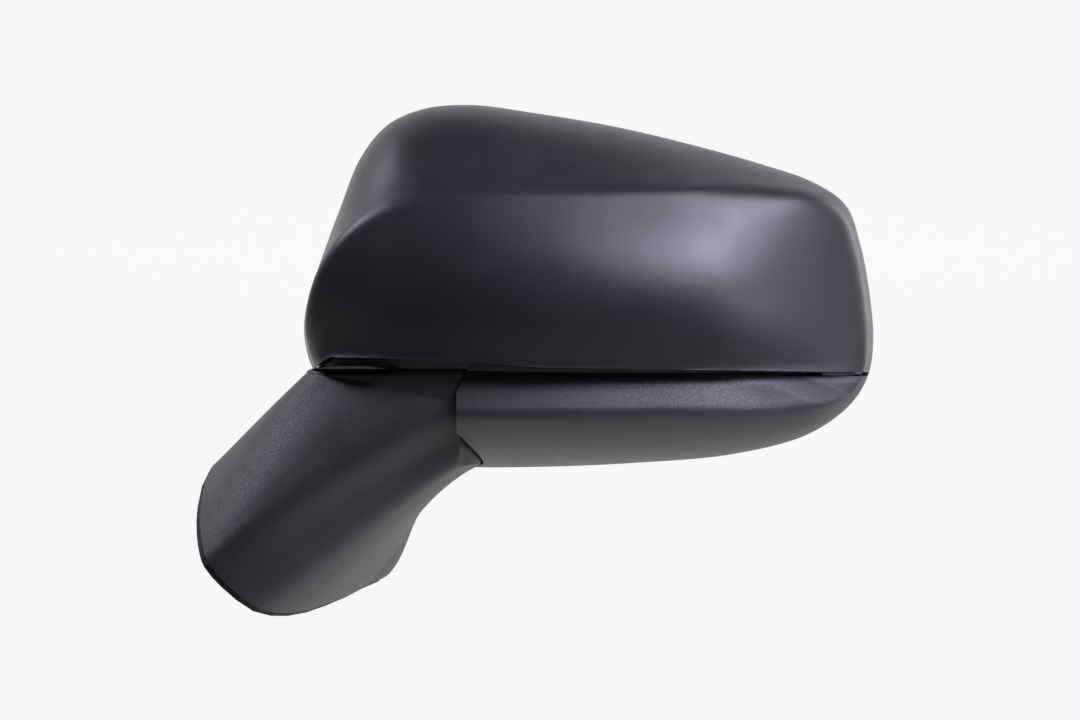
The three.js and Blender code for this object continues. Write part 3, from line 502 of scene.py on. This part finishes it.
def math_node(tree, operation, *inputs):
    """A Math node whose inputs are sockets or plain numbers."""
    node = tree.nodes.new("ShaderNodeMath")
    node.operation = operation
    for socket, value in zip(node.inputs, inputs):
        if isinstance(value, float):
            socket.default_value = value
        else:
            tree.links.new(value, socket)
    return node.outputs["Value"]


class Finish:
    """A procedural material on a Principled shader, with helpers for its grain."""

    def __init__(self, name, color, roughness, metallic=0.0, **extra):
        self.material = bpy.data.materials.new(name)
        self.material.use_nodes = True
        self.tree = self.material.node_tree
        self.shader = self.tree.nodes["Principled BSDF"]
        self.shader.inputs["Base Color"].default_value = (*color, 1)
        self.shader.inputs["Roughness"].default_value = roughness
        self.shader.inputs["Metallic"].default_value = metallic
        for key, value in extra.items():
            self.shader.inputs[key.replace("_", " ")].default_value = value
        self.coords = self.tree.nodes.new("ShaderNodeTexCoord").outputs["Object"]
        self.normal = None

    def noise(self, scale, detail=3.0, roughness=0.5, stretch=None):
        node = self.tree.nodes.new("ShaderNodeTexNoise")
        node.inputs["Scale"].default_value = scale
        node.inputs["Detail"].default_value = detail
        node.inputs["Roughness"].default_value = roughness
        coords = self.coords
        if stretch:
            mapping = self.tree.nodes.new("ShaderNodeMapping")
            mapping.inputs["Scale"].default_value = stretch
            self.tree.links.new(coords, mapping.inputs["Vector"])
            coords = mapping.outputs["Vector"]
        self.tree.links.new(coords, node.inputs["Vector"])
        return node.outputs["Fac"]

    def cells(self, scale):
        node = self.tree.nodes.new("ShaderNodeTexVoronoi")
        node.inputs["Scale"].default_value = scale
        self.tree.links.new(self.coords, node.inputs["Vector"])
        return node.outputs["Distance"]

    def spread(self, value, low, high):
        """Spreads the middle of a noise over a range."""
        node = self.tree.nodes.new("ShaderNodeMapRange")
        node.inputs["From Min"].default_value = 0.3
        node.inputs["From Max"].default_value = 0.7
        node.inputs["To Min"].default_value = low
        node.inputs["To Max"].default_value = high
        self.tree.links.new(value, node.inputs["Value"])
        return node.outputs["Result"]

    def bump(self, height, distance, strength=1.0):
        node = self.tree.nodes.new("ShaderNodeBump")
        node.inputs["Strength"].default_value = strength
        node.inputs["Distance"].default_value = distance
        self.tree.links.new(height, node.inputs["Height"])
        if self.normal:
            self.tree.links.new(self.normal, node.inputs["Normal"])
        self.normal = node.outputs["Normal"]
        self.tree.links.new(self.normal, self.shader.inputs["Normal"])
        return self

    def vary_roughness(self, value, low, high):
        self.tree.links.new(self.spread(value, low, high), self.shader.inputs["Roughness"])
        return self

    def vary_color(self, value, first, second):
        ramp = self.tree.nodes.new("ShaderNodeValToRGB")
        ramp.color_ramp.elements[0].position = 0.35
        ramp.color_ramp.elements[1].position = 0.65
        ramp.color_ramp.elements[0].color = (*first, 1)
        ramp.color_ramp.elements[1].color = (*second, 1)
        self.tree.links.new(value, ramp.inputs["Fac"])
        self.tree.links.new(ramp.outputs["Color"], self.shader.inputs["Base Color"])
        return self


def cap_paint():
    """Satin charcoal paint with a trace of orange peel."""
    f = Finish("cap_paint", (0.015, 0.0143, 0.018), 0.38)
    f.vary_color(f.noise(18, 2), (0.0138, 0.0132, 0.0165), (0.0162, 0.0154, 0.0195))
    f.vary_roughness(f.noise(60, 3), 0.35, 0.41)
    f.bump(f.noise(420, 2), 0.000012)
    return f.material


def grained_plastic():
    """Black moulded plastic with a fine leather-like grain."""
    f = Finish("grained_plastic", (0.024, 0.024, 0.027), 0.5)
    f.vary_color(f.noise(35, 3), (0.021, 0.0208, 0.0232), (0.027, 0.0268, 0.0302))
    f.vary_roughness(f.noise(900, 2), 0.44, 0.57)
    f.bump(f.cells(1500), 0.00006, 0.6)
    f.bump(f.noise(2600, 2), 0.00003, 0.6)
    return f.material


def frame_plastic():
    f = Finish("frame_plastic", (0.016, 0.0165, 0.018), 0.5)
    f.vary_roughness(f.noise(300, 2), 0.42, 0.6)
    f.vary_color(f.noise(40, 2), (0.014, 0.0145, 0.016), (0.019, 0.0195, 0.021))
    f.bump(f.noise(1200, 2), 0.00002, 0.5)
    return f.material


def cast_metal():
    f = Finish("cast_metal", (0.45, 0.45, 0.46), 0.5, 0.9)
    f.vary_color(f.noise(60, 4), (0.36, 0.36, 0.37), (0.52, 0.52, 0.53))
    f.vary_roughness(f.noise(500, 3), 0.42, 0.62)
    f.bump(f.noise(900, 3), 0.00008, 0.6)
    return f.material


def zinc_steel():
    f = Finish("zinc_steel", (0.6, 0.61, 0.62), 0.3, 1.0)
    f.vary_color(f.noise(200, 3), (0.52, 0.53, 0.55), (0.66, 0.66, 0.65))
    f.vary_roughness(f.noise(700, 2, 0.5, (1, 1, 12)), 0.24, 0.4)
    return f.material


def black_rubber():
    f = Finish("black_rubber", (0.012, 0.012, 0.013), 0.75)
    f.vary_color(f.noise(90, 3), (0.010, 0.010, 0.011), (0.016, 0.016, 0.017))
    f.vary_roughness(f.noise(500, 2), 0.68, 0.85)
    f.bump(f.noise(2000, 2), 0.00003, 0.6)
    return f.material


def silvered_glass():
    """First-surface look of the silvered glass, faintly blue, with almost no waviness."""
    f = Finish("silvered_glass", (0.80, 0.84, 0.88), 0.02, 1.0)
    f.vary_roughness(f.noise(25, 2), 0.012, 0.03)
    f.vary_color(f.noise(9, 1), (0.79, 0.83, 0.875), (0.81, 0.845, 0.885))
    return f.material


def acetal():
    f = Finish("acetal", (0.74, 0.72, 0.66), 0.4)
    f.vary_color(f.noise(50, 2), (0.70, 0.68, 0.62), (0.77, 0.75, 0.69))
    f.vary_roughness(f.noise(400, 2), 0.34, 0.5)
    f.bump(f.noise(900, 2), 0.00002, 0.4)
    return f.material


def heater_foil():
    f = Finish("heater_foil", (0.32, 0.2, 0.06), 0.45, 0.3)
    f.vary_color(f.noise(120, 2), (0.28, 0.17, 0.05), (0.36, 0.23, 0.08))
    f.vary_roughness(f.noise(300, 2), 0.38, 0.55)
    return f.material


FINISHES = {
    "painted_cap": cap_paint(), "textured_plastic": grained_plastic(),
    "frame_plastic": frame_plastic(), "cast_metal": cast_metal(), "steel": zinc_steel(),
    "rubber": black_rubber(), "mirror_glass": silvered_glass(), "acetal": acetal(),
    "heater_foil": heater_foil(),
}


def finish_piece(obj, body, slot, *nodes):
    """Gives a new piece its finish, sets it on the body it rides on and hides the CAD nodes it
    stands for.
    """
    obj.data.materials.clear()
    obj.data.materials.append(FINISHES[slot])
    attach(obj, body)
    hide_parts(*nodes)


# ---- CAD nodes that stay ----------------------------------------------------------------------


def dress_frame():
    """Gives the CAD nodes their finishes and slightly rounded edges."""
    slots = {row["node"]: row["material_slot"] for row in frame["record"]["subparts"]}
    for name, obj in frame["nodes"].items():
        for slot in obj.material_slots:
            slot.material = FINISHES[slots[name]]
        round_edges(obj, 0.25, 2, 35)


# ---- Head -------------------------------------------------------------------------------------


def head_skin(name, inset=0.0, closed=False, tipped=False, flared=False):
    """The head's skin.

    A tipped one has its band below the seam tipped back from the fold line, with its top edge
    rolled inwards. A flared one turns slightly outwards just above the seam.
    """
    rings, crease, tip = head_rings(inset)
    face = rings[crease:]
    if tipped:
        fold = rings[crease][:, 2]
        push = BAND_PUSH * ramp(fold, 60, 55)
        above = ramp(face[:, :, 2] - fold[None, :], 0, BAND_HIGH)
        roll = face[:, :, 2] - seam_at(face[:, :, 0]) + SEAM_HALF + ROLL_HIGH
        roll = np.clip(roll / ROLL_HIGH, 0, 1.5)
        back = (BAND_RECESS + push[None, :]) * above - push[None, :]
        face[:, :, 1] += back + ROLL_DEEP * roll ** 2
        for k in range(SIDE_STEPS):
            rings[crease - SIDE_STEPS + k][:, 1] -= push * (k / SIDE_STEPS) ** 3
    if flared:
        low = cap_edge(face[:, :, 0]) + FLARE_HIGH - face[:, :, 2]
        face[:, :, 1] -= EDGE_FLARE * np.clip(low / FLARE_HIGH, 0, 1.5) ** 2
    rings = soften(rings, crease)
    mesh = grid_mesh(name, rings, rings[0].mean(0) if closed else None, tip)
    outwards(mesh)
    return mesh


def opening_ring(inset, y):
    """The rear opening's outline at a depth, moved inwards."""
    ring = inset_loop(closed_curve([(x, 0, z) for x, z in OPENING], OPENING_STEPS), inset)
    ring[:, 1] = y
    return ring


def opening_solid(name, inset):
    """The rear opening's outline as a closed block through the back of the head."""
    rings = np.array([opening_ring(inset, y) for y in (AHEAD - 10, FAR_BACK)])
    mesh = grid_mesh(name, rings, rings[0].mean(0), rings[1].mean(0))
    outwards(mesh)
    return new_object(name, mesh)


def make_cap():
    """The cap's shell, with lips behind the seam that stop light from showing through it."""
    skin = cut_sheet(
        head_skin("cap_shell", flared=True),
        lambda x, y, z: z - cap_edge(x),
        before_split)
    liner = cut_sheet(
        head_skin("liner", LINER_INSET),
        below_seam(7),
        lambda x, y, z: z - seam_at(x) + 3.5 + 5 * ramp(x, 190, 210),
        outboard_of(LINER_FROM),
        # At the outboard end it is kept low and forward, clear of the glass holder as it tilts.
        lambda x, y, z: max(220 - x, -24 - y, seam_at(x) + 2.5 - z),
        before_split)
    over_knuckle = cut_sheet(
        head_skin("over_knuckle", LIP_INSET),
        lambda x, y, z: z - KNUCKLE_TOP - KNUCKLE_GAP,
        lambda x, y, z: KNUCKLE_TOP + 9 - z,
        lambda x, y, z: LINER_FROM + 1 - x,
        before_split)
    outboard_end = cut_sheet(
        head_skin("outboard_end", LIP_INSET),
        above_seam(-0.7),
        below_seam(4),
        outboard_of(OUTBOARD_FROM),
        before_split)
    for lip in (liner, over_knuckle, outboard_end):
        add_mesh(skin, lip)
    cap = shell("cap_shell", skin, CAP_ROUND, CAP_WALL)
    finish_piece(cap, "head", "painted_cap", "cap")


def make_lower_cover():
    """The lower cover's shell, with the wall of its round cut for the knuckle."""
    skin = cut_sheet(
        head_skin("lower_cover_shell", tipped=True),
        below_seam(-SEAM_HALF),
        before_split,
        outside_sweep,
        outboard_of(TAIL_X),
        lambda x, y, z: max(x - PARTING_X, y - PARTING_Y))
    cover = shell("lower_cover_shell", skin, SHELL_ROUND)
    apply_modifiers(cover)
    seat = new_object("seat", head_skin("seat", 0.9, closed=True, tipped=True))
    combine(seat, sweep_body("outer", SEAT_WALL), "INTERSECT")
    combine(seat, sweep_body("inner", 0.02, -70.0, 160.0), "DIFFERENCE")
    parting = block("parting", 50, PARTING_X, FAR_FRONT, PARTING_Y, TALL[0], 120)
    combine(seat, parting, "DIFFERENCE")
    top = seam_at(TAIL_X) - SEAM_HALF - 0.4
    limits = block("limits", TAIL_X, 110, FAR_FRONT, SPLIT_Y - GAP, TALL[0], top)
    combine(seat, limits, "INTERSECT")
    add_mesh(cover.data, seat.data.copy())
    bpy.data.objects.remove(seat)
    cover.data.shade_smooth()
    cover.data.set_sharp_from_angle(angle=math.radians(35))
    finish_piece(cover, "head", "textured_plastic", "lower_cover")


def make_rear_housing():
    """The surround of the glass: a rim, the opening's wall and the hollow between them."""
    skin = new_object("rear_housing_shell", head_skin("rear_housing_shell", closed=True))
    behind = block("behind", *ACROSS, SPLIT_Y + GAP, FAR_BACK, *TALL)
    combine(skin, behind, "INTERSECT")
    channel = new_object("channel", head_skin("channel", WALL, closed=True))
    inside = block("inside", *ACROSS, AHEAD, RIM_Y - RIM_WALL, *TALL)
    combine(channel, inside, "INTERSECT")
    combine(channel, opening_solid("opening_wall", -OPENING_WALL), "DIFFERENCE")
    sill = block("sill", ACROSS[0], 96, AHEAD, FAR_BACK, 50, SEAM_Z + SEAM_HALF + WALL)
    combine(channel, sill, "DIFFERENCE")
    combine(channel, sweep_body("sweep_wall", SEAT_WALL, top=SEAM_Z), "DIFFERENCE")
    tail = block("tail", ACROSS[0], TAIL_X + 3, PIVOT[1], FAR_BACK, TALL[0], SEAM_Z)
    combine(channel, tail, "DIFFERENCE")
    combine(skin, channel, "DIFFERENCE")
    combine(skin, opening_solid("opening", 0), "DIFFERENCE")
    below = block("below", ACROSS[0], TAIL_X, AHEAD, FAR_BACK, TALL[0], SEAM_Z)
    combine(skin, below, "DIFFERENCE")
    combine(skin, sweep_body("sweep", 0, top=SEAM_Z), "DIFFERENCE")
    round_edges(skin, HOUSING_ROUND, 3, 50)
    finish_piece(skin, "head", "textured_plastic", "rear_housing")


# ---- Foot -------------------------------------------------------------------------------------

DOOR_ALONG = np.array([math.sin(DOOR_YAW), math.cos(DOOR_YAW), 0])
DOOR_OUT = np.array([
    -math.cos(DOOR_YAW) * math.cos(DOOR_LEAN),
    math.sin(DOOR_YAW) * math.cos(DOOR_LEAN),
    -math.sin(DOOR_LEAN)])
DOOR_UP = np.cross(DOOR_ALONG, DOOR_OUT)


def foot_rings():
    """Rings from the door face along the stalk to the knuckle's base."""
    rings = []
    for k in range(FOOT_STEPS + 1):
        t = k / FOOT_STEPS
        ring = []
        for (s, u), base, way in FOOT_ROWS:
            start = DOOR_ALONG * s + DOOR_UP * u
            base, way = np.array(base, float), np.array(way, float)
            ring.append(bezier(t, start, start - DOOR_OUT * FOOT_LEAVE, base + way, base))
        rings.append(closed_curve(ring, FOOT_ROW_STEPS))
    return rings


def crown_rings(base):
    """From the knuckle's base up its wall, over a rounded edge and in to the pivot hole."""
    rings = []
    wall_top = np.maximum(base[:, 2], KNUCKLE_TOP - CROWN_EDGE)
    middle = np.array([*PIVOT, 0])
    inward = middle - base
    inward[:, 2] = 0
    reach = np.linalg.norm(inward, axis=1)[:, None]
    inward = inward / reach
    reach = np.maximum(reach, KNUCKLE_R * ramp(base[:, 2:], CONE_TO + 6, CONE_TO))
    flat = middle - inward * reach
    for k in range(1, WALL_STEPS + 1):
        ring = base + (flat - base) * k / WALL_STEPS
        ring[:, 2] = base[:, 2] + (wall_top - base[:, 2]) * k / WALL_STEPS
        rings.append(ring)
    for a in (18, 36, 54, 72, 90):
        a = math.radians(a)
        ring = flat + inward * CROWN_EDGE * (1 - math.cos(a))
        ring[:, 2] = wall_top + (KNUCKLE_TOP - wall_top) * math.sin(a)
        rings.append(ring)
    for radius, up in (
        (BOSS_R + 5, 0), (BOSS_R + 3.5, 0.1 * BOSS_UP), (BOSS_R + 0.5, 0.9 * BOSS_UP),
        (BOSS_R - 1, BOSS_UP), (COVER_HOLE, BOSS_UP),
    ):
        ring = flat + inward * (reach - radius)
        ring[:, 2] = KNUCKLE_TOP + up
        rings.append(ring)
    return rings


def make_foot():
    """The shell of the stalk and its knuckle, whose joint is smoothed at the front left."""
    rings = foot_rings()
    joint, base = len(rings), rings[-1]
    rings = np.array(rings + crown_rings(base))
    front_left = ramp(base[:, 0], 62, 47) * ramp(base[:, 1], -8, -23)
    away = np.abs(np.arange(len(rings)) - joint + 2)
    fade = np.clip(1 - away / JOINT_REACH, 0, 1)[:, None, None] * front_left[None, :, None]
    for _ in range(JOINT_PASSES):
        rings = average(rings, fade)
    mesh = grid_mesh("foot_cover_shell", rings)
    outwards(mesh)
    crown = [p for p in mesh.polygons if p.center.z > (KNUCKLE_TOP - KNUCKLE_GAP) * MM]
    if sum(p.normal.z * p.area for p in crown) < 0:
        mesh.flip_normals()
    cut_sheet(mesh, lambda x, y, z: -float(np.dot((x, y, z), DOOR_OUT)) - SEAL)
    cover = shell("foot_cover_shell", mesh, SHELL_ROUND)
    finish_piece(cover, "foot", "textured_plastic", "foot_cover")


# ---- Glass ------------------------------------------------------------------------------------


def make_glass():
    """A flat pane with a ground edge. Its front and back are single faces."""
    inset = GLASS_GAP + GLASS_LIP + GAP
    profile = [
        (0, GLASS_Y - GLASS_THICK), (0, GLASS_Y - 0.7), (0.25, GLASS_Y - 0.2), (0.7, GLASS_Y)]
    rings = np.array([opening_ring(inset + step, y) for step, y in profile])
    points, faces = grid(rings)
    count = rings.shape[1]
    faces += [tuple(range(count)), tuple(range(len(points) - count, len(points)))]
    mesh = bpy.data.meshes.new("mirror_pane")
    mesh.from_pydata(points, [], faces)
    outwards(mesh)
    glass = new_object("mirror_pane", mesh)
    mesh.shade_smooth()
    mesh.set_sharp_from_angle(angle=math.radians(20))
    finish_piece(glass, "glass", "mirror_glass", "mirror_glass")


# ---- Stage ------------------------------------------------------------------------------------

# Brightness of the backdrop behind the mirror and to the camera, and in front of the mirror,
# and of the world as a light.
BACKDROP_GLOW, FRONT_GLOW, WORLD_GLOW = 0.73, 0.08, 0.01
CAMERA_PLACE, CAMERA_LENS = (0.1092, -2.206, 0.0735), 174.6
# The soft lights aim at this place. For each: name, place, size, power in watts and colour.
CENTRE = (0.12, -0.03, 0.09)
COOL, WARM = (0.81, 0.81, 1), (1, 0.95, 0.97)
LIGHTS = [
    ("right_low", (1.64, -0.52, 0.17), (0.9, 0.6), 5, COOL),
    ("right_side", (1.4, -0.59, 0.86), (0.7, 0.7), 13, COOL),
    ("right_high", (1.11, -0.83, 1.05), (0.7, 0.7), 17.5, COOL),
    ("right_front", (0.76, -0.99, 1.2), (0.7, 0.7), 8, COOL),
    ("front_high", (0.46, -0.75, 1.48), (0.7, 0.7), 7, COOL),
    ("left_high", (-1.1, 0.14, 1.11), (0.7, 0.7), 11, COOL),
    ("right_back", (1.34, 0.95, 0.42), (0.5, 1.0), 4, WARM),
]


def make_camera():
    data = bpy.data.cameras.new("camera")
    data.sensor_width = 36
    data.lens = CAMERA_LENS
    data.clip_end = 20
    camera = bpy.data.objects.new("camera", data)
    bpy.context.collection.objects.link(camera)
    camera.location = CAMERA_PLACE
    camera.rotation_euler = (math.radians(90), 0, 0)
    bpy.context.scene.camera = camera


def area_light(name, place, size, power, color):
    data = bpy.data.lights.new(name, "AREA")
    data.shape = "RECTANGLE"
    data.size, data.size_y = size
    data.energy = power
    data.color = color
    light = bpy.data.objects.new(name, data)
    bpy.context.collection.objects.link(light)
    light.location = place
    light.rotation_euler = (Vector(CENTRE) - Vector(place)).to_track_quat("-Z", "Y").to_euler()


def make_stage():
    """A pale floor that curves up into a backdrop, in metres.

    It lights the mirror from behind, and looks evenly pale to the camera.
    """
    floor_z, back_y, bend, steps = -1.4, 4.2, 1.6, 16
    front_y, top_z, half_width = -9.0, 8.0, 12.0
    rows = [(front_y, floor_z), (back_y - bend, floor_z)]
    for k in range(1, steps + 1):
        a = math.pi / 2 * k / steps
        rows.append((back_y - bend + bend * math.sin(a), floor_z + bend - bend * math.cos(a)))
    rows.append((back_y, top_z))
    points = [(x, y, z) for y, z in rows for x in (-half_width, half_width)]
    faces = [(2 * i, 2 * i + 1, 2 * i + 3, 2 * i + 2) for i in range(len(rows) - 1)]
    mesh = bpy.data.meshes.new("backdrop")
    mesh.from_pydata(points, [], faces)
    mesh.shade_smooth()
    backdrop = new_object("backdrop", mesh)
    f = Finish("backdrop", (0.5, 0.5, 0.5), 0.9, Specular_IOR_Level=0.0)
    f.shader.inputs["Emission Color"].default_value = (1, 1, 1, 1)
    depth = f.tree.nodes.new("ShaderNodeSeparateXYZ")
    f.tree.links.new(f.coords, depth.inputs["Vector"])
    glow = f.tree.nodes.new("ShaderNodeMapRange")
    glow.interpolation_type = "SMOOTHSTEP"
    glow.inputs["From Min"].default_value = -1.5
    glow.inputs["From Max"].default_value = 0.9
    glow.inputs["To Min"].default_value = FRONT_GLOW
    glow.inputs["To Max"].default_value = BACKDROP_GLOW
    f.tree.links.new(depth.outputs["Y"], glow.inputs["Value"])
    path = f.tree.nodes.new("ShaderNodeLightPath")
    seen = math_node(f.tree, "MULTIPLY", path.outputs["Is Camera Ray"], BACKDROP_GLOW)
    pale = math_node(f.tree, "MAXIMUM", seen, glow.outputs["Result"])
    f.tree.links.new(pale, f.shader.inputs["Emission Strength"])
    mesh.materials.append(f.material)


def make_lights():
    """The soft lights, and a world that looks pale to the camera but gives almost no light."""
    world = bpy.data.worlds.new("world")
    bpy.context.scene.world = world
    world.use_nodes = True
    tree = world.node_tree
    background = tree.nodes["Background"]
    background.inputs["Color"].default_value = (1, 1, 1, 1)
    is_camera = tree.nodes.new("ShaderNodeLightPath").outputs["Is Camera Ray"]
    seen = math_node(tree, "MULTIPLY_ADD", is_camera, BACKDROP_GLOW, WORLD_GLOW)
    tree.links.new(seen, background.inputs["Strength"])
    for light in LIGHTS:
        area_light(*light)


bpy.context.scene.view_settings.view_transform = "Standard"
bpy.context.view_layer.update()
make_camera()
make_stage()
make_lights()
dress_frame()
make_cap()
make_lower_cover()
make_rear_housing()
make_foot()
make_glass()
bpy.context.view_layer.update()
